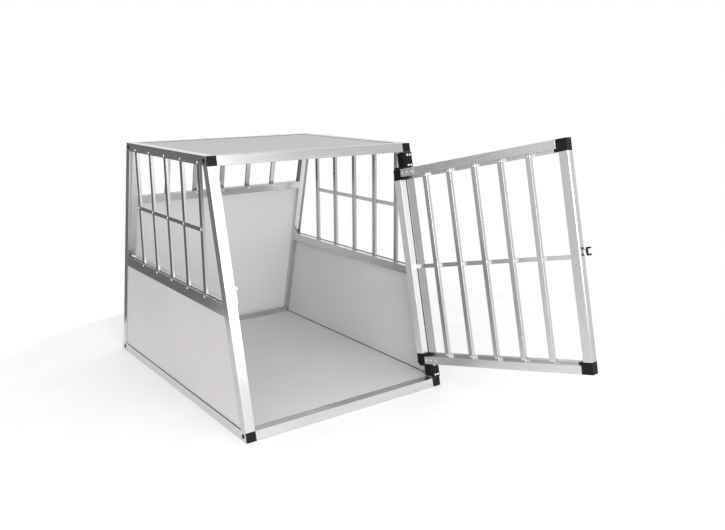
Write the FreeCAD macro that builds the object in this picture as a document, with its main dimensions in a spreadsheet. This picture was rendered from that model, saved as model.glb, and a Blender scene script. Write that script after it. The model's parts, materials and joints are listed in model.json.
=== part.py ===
import FreeCAD, Part
import os

import Sketcher
from FreeCAD import Vector

# A free-standing aluminium dog transport box for one dog: a frame of grooved extrusions that
# leans at both ends, boards in the grooves, barred windows, and a barred door that swings open.
# Frame: origin at the middle of the front sill's underside, +Z up, the door at the -Y end.

doc = FreeCAD.newDocument("dog_transport_box")

# Driving sizes, in millimetres and degrees.
SIZES = [
    ("width", 650), ("depth", 900), ("height", 710),
    ("front_setback", 156), ("back_setback", 183),
    ("rail_width", 28), ("rail_height", 25), ("wall", 1.5), ("lip", 2),
    ("groove_depth", 10), ("board", 8), ("fit_gap", 0.2), ("cap", 3),
    ("sill_depth", 33), ("plug_radius", 6.5), ("plug_inset", 17),
    ("roof_recess", 2), ("floor_gap", 1.5), ("upstand", 16),
    ("mid_level", 320), ("mid_height", 24), ("back_mid_level", 516), ("mid_lip", 9),
    ("bar_width", 15), ("bar_pitch", 110), ("bar_middle", 430), ("back_bar_pitch", 96),
    ("crossbar_level", 518), ("crossbar_height", 12), ("strip", 2),
    ("rivet_radius", 2.6), ("rivet_head", 1.2),
    ("door_angle", 97), ("door_width", 587), ("door_gap", 50), ("door_thickness", 22),
    ("hinge_gap", 5), ("pivot_inset", 12), ("door_setback", 0),
    ("stile_width", 25), ("door_rail", 22.5), ("fin", 9),
    ("corner_length", 32), ("corner_height", 31), ("corner_toe", 6),
    ("door_bar_width", 15), ("door_bar_depth", 10), ("door_bar_pitch", 88.5),
    ("door_bar_shift", 5.5), ("bar_edge", 1),
    ("pin_radius", 3), ("pin_clearance", 0.08), ("pin_reach", 24),
    ("leaf", 3), ("leaf_height", 46), ("leaf_depth", 30), ("lug", 6), ("lug_gap", 0.6),
    ("leaf_gap", 3), ("screw_radius", 3.2), ("screw_near", 6), ("screw_far", 16),
    ("screw_end", 8), ("plate_length", 50),
    ("lock_level", 375), ("lock_below", 26), ("lock_above", 20),
    ("knob_radius", 9), ("knob_length", 10), ("knob_gap", 0.3), ("shaft_radius", 4),
    ("slot_half", 0.8), ("slot_reach", 4), ("slot_depth", 2),
    ("fork_reach", 15.5), ("fork_half", 10.5), ("fork_thickness", 5), ("prong", 4),
    ("strike_height", 44), ("strike_inset", 9), ("strike_width", 20.5),
    ("strike_stand", 10), ("mouth", 26),
    ("fork_gap", 3), ("arm_past", 7),
]
sheet = doc.addObject("Spreadsheet::Sheet", "sizes")
for row, (alias, value) in enumerate(SIZES, start=1):
    sheet.set(f"A{row}", alias)
    sheet.set(f"B{row}", str(value))
    sheet.setAlias(f"B{row}", alias)
doc.recompute()

# Angles and lengths that many pieces share, as expressions on the sheet.
FRONT_FOOT = "(-sizes.sill_depth / 2)"
BACK_FOOT = "(sizes.depth - sizes.sill_depth / 2)"
LEAN = "atan(sizes.front_setback / sizes.height)"
TILT = "atan(sizes.back_setback / sizes.height)"
GROOVE = "(sizes.board + 2 * sizes.fit_gap)"
GROOVE_IN = f"(sizes.lip + {GROOVE})"
BOARD_OUT = "(sizes.lip + sizes.fit_gap)"
BOARD_IN = f"({BOARD_OUT} + sizes.board)"
BITE = "(sizes.groove_depth - 0.5)"
TOP_UNDER = "(sizes.height - sizes.rail_height)"
MID_TOP = "(sizes.mid_level + sizes.mid_height)"
BACK_MID_TOP = "(sizes.back_mid_level + sizes.mid_height)"
PIVOT_X = "(sizes.width / 2 - sizes.rail_width - sizes.hinge_gap - sizes.pivot_inset)"
HALF_DOOR = "(sizes.door_thickness / 2)"
PIVOT_Y = f"(sizes.door_setback + {HALF_DOOR})"
FREE_EDGE = "(sizes.pivot_inset - sizes.door_width)"
BAR_INNER = "(sizes.strip - sizes.door_thickness / 2 + sizes.door_bar_depth)"


def frame(x, y, z, axis, angle):
    """A placement expression: a turn about one axis, then a shift."""
    ax, ay, az = axis
    shift = f"create(<<vector>>; {x}; {y}; {z})"
    turn = f"create(<<rotation>>; create(<<vector>>; {ax}; {ay}; {az}); {angle})"
    return f"create(<<placement>>; {shift}; {turn})"


FRONT = frame("0", FRONT_FOOT, "0", (1, 0, 0), f"-{LEAN}")
BACK = frame("0", BACK_FOOT, "0", (1, 0, 0), TILT)
DOOR = f"{FRONT} * {frame(PIVOT_X, PIVOT_Y, '0', (0, 0, 1), 'sizes.door_angle')}"


def front_y(level, inset="0"):
    """Y of the plane that lies inset behind the front plane, at a level above the floor."""
    return f"({FRONT_FOOT} + ({inset}) / cos({LEAN}) + ({level}) * tan({LEAN}))"


def back_y(level, inset="0"):
    return f"({BACK_FOOT} - ({inset}) / cos({TILT}) - ({level}) * tan({TILT}))"


def front_v(level, inset="0"):
    """Distance up the front slope, at an inset behind the plane, of a level."""
    return f"(({level}) / cos({LEAN}) + ({inset}) * tan({LEAN}))"


def back_v(level, inset="0"):
    return f"(({level}) / cos({TILT}) + ({inset}) * tan({TILT}))"


# The door fills the opening between sill and header, less a gap at each end for the hinges.
DOOR_BOTTOM = f"({front_v('sizes.rail_height')} + sizes.door_gap)"
DOOR_TOP = f"({front_v(TOP_UNDER)} - sizes.door_gap)"
DOOR_HEIGHT = f"({DOOR_TOP} - {DOOR_BOTTOM})"


def side_x(side, inset):
    """X at an inset from the outer side face; side is -1 for left and 1 for right."""
    return f"({side} * (sizes.width / 2 - ({inset})))"


def low_x(side, near, far):
    """The lower X of a stretch between two insets."""
    return side_x(side, near if side < 0 else far)


def rect(x0, y0, x1, y1):
    return [(x0, y0), (x1, y0), (x1, y1), (x0, y1)]


def draw(body, plane, loops, circles, offset):
    """A sketch of closed polygons and circles, every coordinate bound to an expression."""
    sketch = body.newObject("Sketcher::SketchObject", "sketch")
    origin = next(f for f in body.Origin.OriginFeatures if f.Role == plane)
    sketch.AttachmentSupport = [(origin, "")]
    sketch.MapMode = "FlatFace"
    sketch.setExpression("AttachmentOffset.Base.z", offset)

    def pin(geometry, point, x, y):
        for kind, expression in (("DistanceX", x), ("DistanceY", y)):
            index = sketch.addConstraint(Sketcher.Constraint(kind, -1, 1, geometry, point, 1.0))
            sketch.setExpression(f"Constraints[{index}]", expression)

    for loop in loops:
        first = sketch.GeometryCount
        count = len(loop)
        turn = [FreeCAD.Rotation(Vector(0, 0, 1), 360 * i / count) for i in range(count)]
        rough = [t.multVec(Vector(10, 0, 0)) for t in turn]
        for i in range(count):
            sketch.addGeometry(Part.LineSegment(rough[i], rough[(i + 1) % count]), False)
        for i in range(count):
            other = first + (i + 1) % count
            sketch.addConstraint(Sketcher.Constraint("Coincident", first + i, 2, other, 1))
        for i, (x, y) in enumerate(loop):
            pin(first + i, 1, x, y)
    for x, y, radius in circles:
        index = sketch.addGeometry(Part.Circle(Vector(1, 1, 0), Vector(0, 0, 1), 1), False)
        bound = sketch.addConstraint(Sketcher.Constraint("Radius", index, 1.0))
        sketch.setExpression(f"Constraints[{bound}]", radius)
        pin(index, 3, x, y)
    return sketch


def new_body(label, place=None):
    body = doc.addObject("PartDesign::Body", label)
    if place:
        body.setExpression("Placement", place)
    return body


# XZ sketches face -Y, so their offset is counted backwards.
def add(body, plane, loops, start, length, circles=()):
    offset = f"-({start})" if plane == "XZ_Plane" else start
    pad = body.newObject("PartDesign::Pad", "pad")
    pad.Profile = draw(body, plane, loops, circles, offset)
    pad.Reversed = plane == "XZ_Plane"
    pad.setExpression("Length", length)
    doc.recompute()
    return pad


def cut(body, plane, loops, start, length, circles=()):
    before = body.Shape.Volume
    offset = f"-({start})" if plane == "XZ_Plane" else f"({start}) + ({length})"
    pocket = body.newObject("PartDesign::Pocket", "pocket")
    pocket.Profile = draw(body, plane, loops, circles, offset)
    pocket.setExpression("Length", length)
    doc.recompute()
    if body.Shape.Volume >= before:
        raise RuntimeError(f"{body.Label}: a cut removed nothing")
    return pocket


nodes = []


def keep(piece):
    nodes.append(piece)
    return piece


def group(label, pieces):
    """Several like solids under one name."""
    compound = doc.addObject("Part::Compound", label)
    compound.Links = pieces
    return keep(compound)


# Side rails: full length, ends closed by caps that lie in the leaning end planes.
def side_outline(low, high, front_inset, back_inset):
    return [(front_y(low, front_inset), low), (back_y(low, back_inset), low),
            (back_y(high, back_inset), high), (front_y(high, front_inset), high)]


def rail_sections(side, sections):
    """Rectangles given as inset and level ranges, for cuts along the rail."""
    return [rect(side_x(side, near), low, side_x(side, far), high)
            for near, low, far, high in sections]


FULL_START = f"{FRONT_FOOT} - 10"
FULL_LENGTH = "sizes.depth + 20"
BAR_MIDDLE = f"({FRONT_FOOT} + sizes.bar_middle)"


def bar_places():
    return [f"({BAR_MIDDLE} + {step} * sizes.bar_pitch)" for step in range(-2, 3)]


def lip_holes(body, side, level):
    """Rivet holes through the outer lip, one for each window bar."""
    holes = [(place, level, "sizes.rivet_radius") for place in bar_places()]
    cut(body, "YZ_Plane", [], low_x(side, "0", "sizes.lip"), "sizes.lip", holes)


def bottom_side_rail(side, label):
    body = new_body(label)
    outline = side_outline("0", "sizes.rail_height", "sizes.cap", "sizes.cap")
    add(body, "YZ_Plane", [outline], low_x(side, "0", "sizes.rail_width"), "sizes.rail_width")
    floor_seat = "(sizes.rail_height - 1 - sizes.board)"
    inner = f"({GROOVE_IN} + sizes.wall)"
    groove_floor = "(sizes.rail_height - sizes.groove_depth)"
    through = rail_sections(side, [
        ("sizes.lip", groove_floor, GROOVE_IN, "sizes.rail_height + 1"),
        ("sizes.wall", "sizes.wall", GROOVE_IN, f"{groove_floor} - sizes.wall"),
        (inner, "sizes.wall", "sizes.rail_width - sizes.wall", f"{floor_seat} - sizes.wall")])
    cut(body, "XZ_Plane", through, FULL_START, FULL_LENGTH)
    rebate = rail_sections(side, [(inner, floor_seat, "sizes.rail_width + 1",
                                   "sizes.rail_height + 1")])
    cut(body, "XZ_Plane", rebate, f"{FRONT_FOOT} + sizes.sill_depth",
        "sizes.depth - 2 * sizes.sill_depth")
    return keep(body)


ROOF_TOP = "(sizes.height - sizes.roof_recess)"
ROOF_UNDER = f"({ROOF_TOP} - sizes.board)"


def top_side_rail(side, label):
    body = new_body(label)
    outline = side_outline(TOP_UNDER, "sizes.height", "sizes.cap", "sizes.cap")
    add(body, "YZ_Plane", [outline], low_x(side, "0", "sizes.rail_width"), "sizes.rail_width")
    slot_in = "(sizes.rail_width - sizes.groove_depth)"
    through = rail_sections(side, [
        ("sizes.lip", f"{TOP_UNDER} - 1", GROOVE_IN, f"{TOP_UNDER} + sizes.groove_depth"),
        (slot_in, f"{ROOF_UNDER} - sizes.fit_gap", "sizes.rail_width + 1",
         f"{ROOF_TOP} + sizes.fit_gap"),
        (f"{GROOVE_IN} + sizes.wall", f"{TOP_UNDER} + sizes.wall",
         "sizes.rail_width - sizes.wall", f"{ROOF_UNDER} - sizes.fit_gap - sizes.wall")])
    cut(body, "XZ_Plane", through, FULL_START, FULL_LENGTH)
    lip_holes(body, side, f"{TOP_UNDER} + sizes.groove_depth / 2 + 1")
    return keep(body)


SIDES = ((-1, "left"), (1, "right"))
for side, name in SIDES:
    bottom_side_rail(side, f"bottom_rail_{name}")
    top_side_rail(side, f"top_rail_{name}")

# Cross rails between the side rails.
CROSS_START = "-sizes.width / 2 + sizes.rail_width"
CROSS_LENGTH = "sizes.width - 2 * sizes.rail_width"


def cross_rail(label, outline, hollow, grooves):
    body = new_body(label)
    add(body, "YZ_Plane", [outline], CROSS_START, CROSS_LENGTH)
    cut(body, "YZ_Plane", [hollow] + grooves, CROSS_START, CROSS_LENGTH)
    return keep(body)


def sill(end_y, sign, label, grooves, upstand=False):
    """Bottom cross rail, deeper than the others; the back one has a fin behind the floor."""
    inner = f"({end_y('0')} - {sign} * sizes.sill_depth)"
    shell = f"({inner} + {sign} * sizes.lip)"
    crest = "(sizes.rail_height + sizes.upstand)"
    fin = [(inner, crest), (shell, crest), (shell, "sizes.rail_height")]
    outline = [(end_y("0"), "0"), (inner, "0")]
    outline += fin if upstand else [(inner, "sizes.rail_height")]
    outline.append((end_y("sizes.rail_height"), "sizes.rail_height"))
    low, high = "sizes.wall", "(sizes.rail_height - sizes.groove_depth - sizes.wall)"
    hollow = [(end_y(low, "sizes.wall"), low), (shell, low), (shell, high),
              (end_y(high, "sizes.wall"), high)]
    cross_rail(label, outline, hollow, grooves)


def end_groove(end_y, low, high):
    return [(end_y(low, "sizes.lip"), low), (end_y(low, GROOVE_IN), low),
            (end_y(high, GROOVE_IN), high), (end_y(high, "sizes.lip"), high)]


def header(end_y, sign, label, grooves):
    """Top cross rail, slotted on its inner face for the roof."""
    outer = end_y("sizes.height")
    inner = f"({outer} - {sign} * sizes.rail_height)"
    outline = [(end_y(TOP_UNDER), TOP_UNDER), (inner, TOP_UNDER), (inner, "sizes.height"),
               (outer, "sizes.height")]
    low, high = f"({TOP_UNDER} + sizes.groove_depth + sizes.wall)", f"({ROOF_UNDER} - sizes.wall)"
    deep = f"({inner} + {sign} * sizes.groove_depth)"
    slot = rect(deep, f"{ROOF_UNDER} - sizes.fit_gap", f"({inner} - {sign})",
                f"{ROOF_TOP} + sizes.fit_gap")
    hollow = [(end_y(low, "sizes.wall"), low), (f"({inner} + {sign} * sizes.wall)", low),
              (f"({inner} + {sign} * sizes.wall)", high), (end_y(high, "sizes.wall"), high)]
    cross_rail(label, outline, hollow, [slot] + grooves)


sill(front_y, -1, "front_sill", [])
sill(back_y, 1, "back_sill", [end_groove(back_y, "sizes.rail_height - sizes.groove_depth",
                                         "sizes.rail_height + 1")], upstand=True)
header(front_y, -1, "front_header", [])
header(back_y, 1, "back_header", [end_groove(back_y, f"{TOP_UNDER} - 1",
                                             f"{TOP_UNDER} + sizes.groove_depth")])


# Leaning corner posts, grooved on the face towards the side window.
def post(side, label, place, end_v, deep):
    body = new_body(label, place)
    inner = f"({deep} * sizes.rail_height)"
    ends = [(y, end_v(level, inset)) for y, inset, level in (
        ("0", "0", "sizes.rail_height"), (inner, "sizes.rail_height", "sizes.rail_height"),
        (inner, "sizes.rail_height", TOP_UNDER), ("0", "0", TOP_UNDER))]
    add(body, "YZ_Plane", [ends], low_x(side, "0", "sizes.rail_width"), "sizes.rail_width")
    groove_y = f"({deep} * (sizes.rail_height - sizes.groove_depth))"
    past = f"({inner} + {deep})"
    front_wall = f"({deep} * sizes.wall)"
    sections = [
        rect(side_x(side, "sizes.lip"), groove_y, side_x(side, GROOVE_IN), past),
        rect(side_x(side, "sizes.wall"), front_wall, side_x(side, GROOVE_IN),
             f"({groove_y} - {front_wall})"),
        rect(side_x(side, f"{GROOVE_IN} + sizes.wall"), front_wall,
             side_x(side, "sizes.rail_width - sizes.wall"), f"({inner} - {front_wall})")]
    if deep < 0:
        board_edge = "(sizes.rail_width - sizes.groove_depth)"
        sections = sections[:2] + [
            rect(side_x(side, board_edge), f"(-{GROOVE_IN})",
                 side_x(side, "sizes.rail_width + 1"), "(-sizes.lip)"),
            rect(side_x(side, f"{GROOVE_IN} + sizes.wall"), f"(-{GROOVE_IN} - sizes.wall)",
                 side_x(side, "sizes.rail_width - sizes.wall"), f"({inner} - {front_wall})")]
    cut(body, "XY_Plane", sections, "0", f"{end_v('sizes.height', 'sizes.rail_height')} + 10")
    return keep(body)


for side, name in SIDES:
    post(side, f"front_post_{name}", FRONT, front_v, 1)
    post(side, f"back_post_{name}", BACK, back_v, -1)


# Middle rails carry the boards below and the window bars above.
def mid_rail_side(side, label):
    body = new_body(label)
    low = "(sizes.mid_level - sizes.mid_lip)"
    outline = side_outline(low, MID_TOP, "sizes.rail_height", "sizes.rail_height")
    add(body, "YZ_Plane", [outline], low_x(side, "0", "sizes.rail_width"), "sizes.rail_width")
    through = rail_sections(side, [
        ("sizes.lip", f"{low} - 1", GROOVE_IN, "sizes.mid_level + 1"),
        (GROOVE_IN, f"{low} - 1", "sizes.rail_width + 1", "sizes.mid_level"),
        ("sizes.lip", f"{MID_TOP} - sizes.groove_depth", GROOVE_IN, f"{MID_TOP} + 1"),
        (f"{GROOVE_IN} + sizes.wall", "sizes.mid_level + sizes.wall",
         "sizes.rail_width - sizes.wall", f"{MID_TOP} - sizes.wall")])
    cut(body, "XZ_Plane", through, FULL_START, FULL_LENGTH)
    lip_holes(body, side, f"{MID_TOP} - sizes.groove_depth / 2 - 1")
    return keep(body)


for side, name in SIDES:
    mid_rail_side(side, f"mid_rail_{name}")


def back_mid_rail():
    low = "(sizes.back_mid_level - sizes.mid_lip)"
    face = "sizes.rail_height"
    outline = [(back_y(low), low), (back_y(low, GROOVE_IN), low),
               (back_y("sizes.back_mid_level", GROOVE_IN), "sizes.back_mid_level"),
               (back_y("sizes.back_mid_level", face), "sizes.back_mid_level"),
               (back_y(BACK_MID_TOP, face), BACK_MID_TOP), (back_y(BACK_MID_TOP), BACK_MID_TOP)]
    low_in = "(sizes.back_mid_level + sizes.wall)"
    high_in = f"({BACK_MID_TOP} - sizes.wall)"
    shell = f"({GROOVE_IN} + sizes.wall)"
    hollow = [(back_y(low_in, shell), low_in), (back_y(low_in, f"{face} - sizes.wall"), low_in),
              (back_y(high_in, f"{face} - sizes.wall"), high_in), (back_y(high_in, shell), high_in)]
    grooves = [end_groove(back_y, f"({low} - 1)", "(sizes.back_mid_level + 1)"),
               end_groove(back_y, f"({BACK_MID_TOP} - sizes.groove_depth)",
                          f"({BACK_MID_TOP} + 1)")]
    cross_rail("back_mid_rail", outline, hollow, grooves)


back_mid_rail()


# Boards, each held in the grooves around it.
def board(label, plane, outline, start, length):
    body = new_body(label)
    add(body, plane, [outline], start, length)
    return keep(body)


LOW_BITE = f"(sizes.rail_height - {BITE})"
for side, name in SIDES:
    outline = side_outline(LOW_BITE, "(sizes.mid_level + 0.5)", LOW_BITE, LOW_BITE)
    board(f"{name}_board", "YZ_Plane", outline, low_x(side, BOARD_OUT, BOARD_IN), "sizes.board")

SPAN_BITE = f"(sizes.width - 2 * (sizes.rail_width - {BITE}))"
back_low = LOW_BITE
back_high = "(sizes.back_mid_level + 0.5)"
back_outline = [(back_y(back_low, BOARD_OUT), back_low), (back_y(back_low, BOARD_IN), back_low),
                (back_y(back_high, BOARD_IN), back_high), (back_y(back_high, BOARD_OUT), back_high)]
# The lower edge stops short of the side rails, which run through under the posts.
board("back_board", "YZ_Plane", back_outline, f"-{SPAN_BITE} / 2", SPAN_BITE)
cut(nodes[-1], "XZ_Plane",
    [rect(side_x(side, f"sizes.rail_width - {BITE} - 1"), "0",
          side_x(side, "sizes.rail_width + sizes.fit_gap"), "sizes.rail_height + sizes.fit_gap")
     for side, name in SIDES], "sizes.depth / 2", "sizes.depth / 2")

FLOOR_HALF = f"(sizes.width / 2 - {GROOVE_IN} - sizes.wall - sizes.floor_gap)"
FLOOR_IN = "(sizes.sill_depth + sizes.fit_gap)"
board("floor_board", "XY_Plane",
      rect(f"-{FLOOR_HALF}", f"{FRONT_FOOT} + {FLOOR_IN}", FLOOR_HALF,
           f"{BACK_FOOT} - {FLOOR_IN}"),
      "sizes.rail_height - 1 - sizes.board", "sizes.board")
roof_front = f"({front_y('sizes.height')} + sizes.rail_height - {BITE})"
roof_back = f"({back_y('sizes.height')} - sizes.rail_height + {BITE})"
board("roof_board", "XY_Plane", rect(f"-{SPAN_BITE} / 2", roof_front, f"{SPAN_BITE} / 2",
                                     roof_back), ROOF_UNDER, "sizes.board")


# Window bars: flat tubes with rounded edges, held in the grooves.
def tube(label, place, x, y, wide, thick, start, length):
    body = new_body(label, place)
    outer = rect(f"{x} - {wide} / 2", f"{y} - {thick} / 2", f"{x} + {wide} / 2",
                 f"{y} + {thick} / 2")
    inner = rect(f"{x} - {wide} / 2 + sizes.wall", f"{y} - {thick} / 2 + sizes.wall",
                 f"{x} + {wide} / 2 - sizes.wall", f"{y} + {thick} / 2 - sizes.wall")
    pad = add(body, "XY_Plane", [outer], start, length)
    upright = []
    for number, edge in enumerate(body.Shape.Edges, start=1):
        along = pad.Shape.Edges[number - 1]
        if abs(along.Vertexes[0].Z - along.Vertexes[-1].Z) > 1:
            upright.append(f"Edge{number}")
    rounding = body.newObject("PartDesign::Fillet", "rounding")
    rounding.Base = (pad, upright)
    rounding.setExpression("Radius", "sizes.bar_edge")
    doc.recompute()
    cut(body, "XY_Plane", [inner], f"{start} - 1", f"{length} + 2")
    return keep(body)


BAR_LOW = f"({MID_TOP} - {BITE})"
BAR_HIGH = f"({TOP_UNDER} + {BITE})"
for side, name in SIDES:
    for number, place in enumerate(bar_places(), start=1):
        tube(f"{name}_window_bar_{number}", None, side_x(side, f"({BOARD_OUT} + sizes.board / 2)"),
             place, "sizes.board", "sizes.bar_width", BAR_LOW, f"{BAR_HIGH} - {BAR_LOW}")
BACK_BAR_LOW = f"({back_v(f'{BACK_MID_TOP} - sizes.groove_depth', BOARD_IN)} + 0.5)"
BACK_BAR_HIGH = f"({back_v(f'{TOP_UNDER} + sizes.groove_depth', BOARD_OUT)} - 0.5)"
back_bar_x = [f"({step} * sizes.back_bar_pitch)" for step in range(-2, 3)]
for number, place in enumerate(back_bar_x, start=1):
    tube(f"back_window_bar_{number}", BACK, place, f"(-{BOARD_OUT} - sizes.board / 2)",
         "sizes.bar_width", "sizes.board", BACK_BAR_LOW, f"{BACK_BAR_HIGH} - {BACK_BAR_LOW}")

# Flat strips across the outside of the side bars.
CROSS_LOW = "(sizes.crossbar_level - sizes.crossbar_height / 2)"
for side, name in SIDES:
    body = new_body(f"{name}_window_crossbar")
    reach = "(2 * sizes.bar_pitch + sizes.bar_width / 2)"
    strip = rect(f"{BAR_MIDDLE} - {reach}", CROSS_LOW, f"{BAR_MIDDLE} + {reach}",
                 f"{CROSS_LOW} + sizes.crossbar_height")
    add(body, "YZ_Plane", [strip], low_x(side, f"({BOARD_OUT} - sizes.strip)", BOARD_OUT),
        "sizes.strip")
    keep(body)


# End caps and round plugs of the side rails.
def end_cap(side, low, high, end_y):
    body = new_body("cap")
    outline = [(end_y(low), low), (end_y(low, "sizes.cap"), low),
               (end_y(high, "sizes.cap"), high), (end_y(high), high)]
    add(body, "YZ_Plane", [outline], low_x(side, "0", "sizes.rail_width"), "sizes.rail_width")
    return body


def disc(place, x, y, z, axis, radius, length, label="disc"):
    """A short cylinder; axis is the local direction that it points along."""
    cylinder = doc.addObject("Part::Cylinder", label)
    cylinder.setExpression("Radius", radius)
    cylinder.setExpression("Height", length)
    turns = {"+x": ((0, 1, 0), 90), "-x": ((0, 1, 0), -90), "+y": ((1, 0, 0), -90),
             "-y": ((1, 0, 0), 90), "+z": ((0, 0, 1), 0)}
    turn_axis, angle = turns[axis]
    here = frame(x, y, z, turn_axis, str(angle))
    cylinder.setExpression("Placement", f"{place} * {here}" if place else here)
    return cylinder


caps = []
plugs = []
for side, name in SIDES:
    outward = "-x" if side < 0 else "+x"
    for low, high in (("0", "sizes.rail_height"), (TOP_UNDER, "sizes.height")):
        for end_y, sign in ((front_y, "+"), (back_y, "-")):
            caps.append(end_cap(side, low, high, end_y))
            middle = f"(({low}) + ({high})) / 2"
            plugs.append(disc(None, side_x(side, "0"), f"{end_y(middle)} {sign} sizes.plug_inset",
                              middle, outward, "sizes.plug_radius", "sizes.rivet_head"))
group("rail_end_caps", caps)
group("rail_plugs", plugs)

# Rivets of the side windows: a shank in the lip and a head outside it.
rivets = []


def rivet(place, x, y, z, axis, shank):
    """A shank along axis that ends in a wider head."""
    stem = disc(place, x, y, z, axis, "sizes.rivet_radius", shank)
    step = {"-x": (-1, 0, 0), "+x": (1, 0, 0), "-y": (0, -1, 0), "+y": (0, 1, 0)}[axis]
    head_at = [f"({c} + {s} * ({shank}))" for c, s in zip((x, y, z), step)]
    head = disc(place, *head_at, axis, "sizes.rivet_radius * 1.3", "sizes.rivet_head")
    whole = doc.addObject("Part::Fuse", "rivet")
    whole.Base = stem
    whole.Tool = head
    return whole


for side, name in SIDES:
    outward = "-x" if side < 0 else "+x"
    for place in bar_places():
        for level in (f"{MID_TOP} - sizes.groove_depth / 2 - 1",
                      f"{TOP_UNDER} + sizes.groove_depth / 2 + 1"):
            rivets.append(rivet(None, side_x(side, "sizes.lip"), place, level, outward,
                                "sizes.lip"))
        face = side_x(side, f"({BOARD_OUT} - sizes.strip)")
        rivets.append(disc(None, face, place, "sizes.crossbar_level", outward,
                           "sizes.rivet_radius", "sizes.rivet_head"))
for place in back_bar_x:
    rivets.append(disc(BACK, place, "(-sizes.rail_height)",
                       f"({back_v(BACK_MID_TOP, 'sizes.rail_height')} - 6)", "-y",
                       "sizes.rivet_radius", "sizes.rivet_head"))
group("frame_rivets", rivets)


# Hinge brackets on the right front post: two leaves joined by a strip, and a lug with a pin.
POST_FACE = "(sizes.width / 2 - sizes.rail_width)"


def hinge_bracket(low, high, side_low, door_edge, sign, label):
    """sign is 1 where the lug lies above the door and -1 where it lies below it."""
    body = new_body(label, FRONT)
    leaf_low, leaf_high = f"({low})", f"({high})"
    add(body, "XY_Plane", [rect(f"{POST_FACE} - sizes.leaf", "-sizes.leaf", POST_FACE,
                                "sizes.leaf_depth - sizes.leaf")],
        side_low, f"{leaf_high} - {side_low}")
    add(body, "XY_Plane", [rect(f"{POST_FACE} - 1", "-sizes.leaf", "sizes.width / 2", "0")],
        leaf_low, f"{leaf_high} - {leaf_low}")
    slit = [rect(f"{POST_FACE}", f"{leaf_low} - 1", f"{POST_FACE} + sizes.leaf",
                 f"{leaf_high} - sizes.lug")] if sign > 0 else [
        rect(f"{POST_FACE}", f"{leaf_low} + sizes.lug", f"{POST_FACE} + sizes.leaf",
             f"{leaf_high} + 1")]
    cut(body, "XZ_Plane", slit, "-sizes.leaf - 1", "sizes.leaf + 1")
    lug_low = f"({door_edge} + sizes.lug_gap)" if sign > 0 else \
        f"({door_edge} - sizes.lug_gap - sizes.lug)"
    reach = "(sizes.pin_radius * 3)"
    add(body, "XY_Plane", [rect(f"{PIVOT_X} - {reach}", f"{PIVOT_Y} - {reach}",
                                f"{POST_FACE} - 1", f"{PIVOT_Y} + {reach}")],
        lug_low, "sizes.lug")
    cut(body, "XY_Plane", [], f"{lug_low} - 1", "sizes.lug + 2",
        [(PIVOT_X, PIVOT_Y, "sizes.pin_radius")])
    return body, lug_low


# The top bracket ends just below the header and the bottom one just above the sill.
TOP_LEAF = (f"{DOOR_TOP} + sizes.leaf_gap", f"{DOOR_TOP} + sizes.leaf_gap + sizes.leaf_height",
            f"({DOOR_TOP} + sizes.leaf_gap)")
SILL_CLEAR = f"({front_v('sizes.rail_height', 'sizes.leaf_depth')} + 1)"
LOW_LEAF = (f"{DOOR_BOTTOM} - sizes.leaf_gap - sizes.leaf_height",
            f"{DOOR_BOTTOM} - sizes.leaf_gap", SILL_CLEAR)
brackets = []
pins = []
screws = []
for leaf_range, door_edge, sign in ((TOP_LEAF, DOOR_TOP, 1), (LOW_LEAF, DOOR_BOTTOM, -1)):
    bracket, lug_low = hinge_bracket(*leaf_range, door_edge, sign, "bracket")
    brackets.append(bracket)
    pin_low = f"({DOOR_TOP} - sizes.pin_reach + 2)" if sign > 0 else lug_low
    pin_long = "(sizes.pin_reach + sizes.lug_gap + sizes.lug - 2)"
    pins.append(disc(FRONT, PIVOT_X, PIVOT_Y, pin_low, "+z", "sizes.pin_radius", pin_long))
    for x in ("(sizes.width / 2 - sizes.screw_near)", "(sizes.width / 2 - sizes.screw_far)"):
        for z in (f"{leaf_range[0]} + sizes.screw_end", f"{leaf_range[1]} - sizes.screw_end"):
            screws.append(disc(FRONT, x, "-sizes.leaf", z, "-y", "sizes.screw_radius",
                               "sizes.rivet_head"))
group("hinge_brackets", brackets)
group("hinge_pins", pins)

# Strike for the lock, on the left front post: a plate with an end wall and an upper hood.
STRIKE_X = "(-sizes.width / 2 + sizes.strike_inset)"
STRIKE_LOW = "(sizes.lock_level - sizes.strike_height / 2)"
STRIKE_FRONT = "(-sizes.strike_stand)"
MOUTH_TOP = "(sizes.lock_level + sizes.fork_half + sizes.fork_gap)"
strike = new_body("strike_plate", FRONT)
add(strike, "XZ_Plane", [rect(STRIKE_X, STRIKE_LOW, f"{STRIKE_X} + sizes.strike_width",
                              f"{STRIKE_LOW} + sizes.strike_height")], "-sizes.wall", "sizes.wall")
hood = [(STRIKE_X, f"{MOUTH_TOP} - sizes.mouth"),
        (f"{STRIKE_X} + sizes.wall", f"{MOUTH_TOP} - sizes.mouth"),
        (f"{STRIKE_X} + sizes.wall", MOUTH_TOP),
        (f"{STRIKE_X} + sizes.strike_width", MOUTH_TOP),
        (f"{STRIKE_X} + sizes.strike_width", f"{STRIKE_LOW} + sizes.strike_height"),
        (STRIKE_X, f"{STRIKE_LOW} + sizes.strike_height")]
add(strike, "XZ_Plane", [hood], STRIKE_FRONT, "sizes.strike_stand - sizes.wall / 2")
cut(strike, "XZ_Plane", [rect(f"{STRIKE_X} + sizes.wall", f"{MOUTH_TOP} - 1",
                              f"{STRIKE_X} + sizes.strike_width + 1",
                              f"{STRIKE_LOW} + sizes.strike_height - sizes.wall")],
    f"{STRIKE_FRONT} + sizes.wall", "sizes.strike_stand - 2 * sizes.wall")
keep(strike)
screws.append(disc(FRONT, f"{STRIKE_X} + sizes.strike_width / 2", "-sizes.wall",
                   f"{STRIKE_LOW} + sizes.screw_near", "-y", "sizes.screw_radius",
                   "sizes.rivet_head"))
group("bracket_screws", screws)

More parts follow.
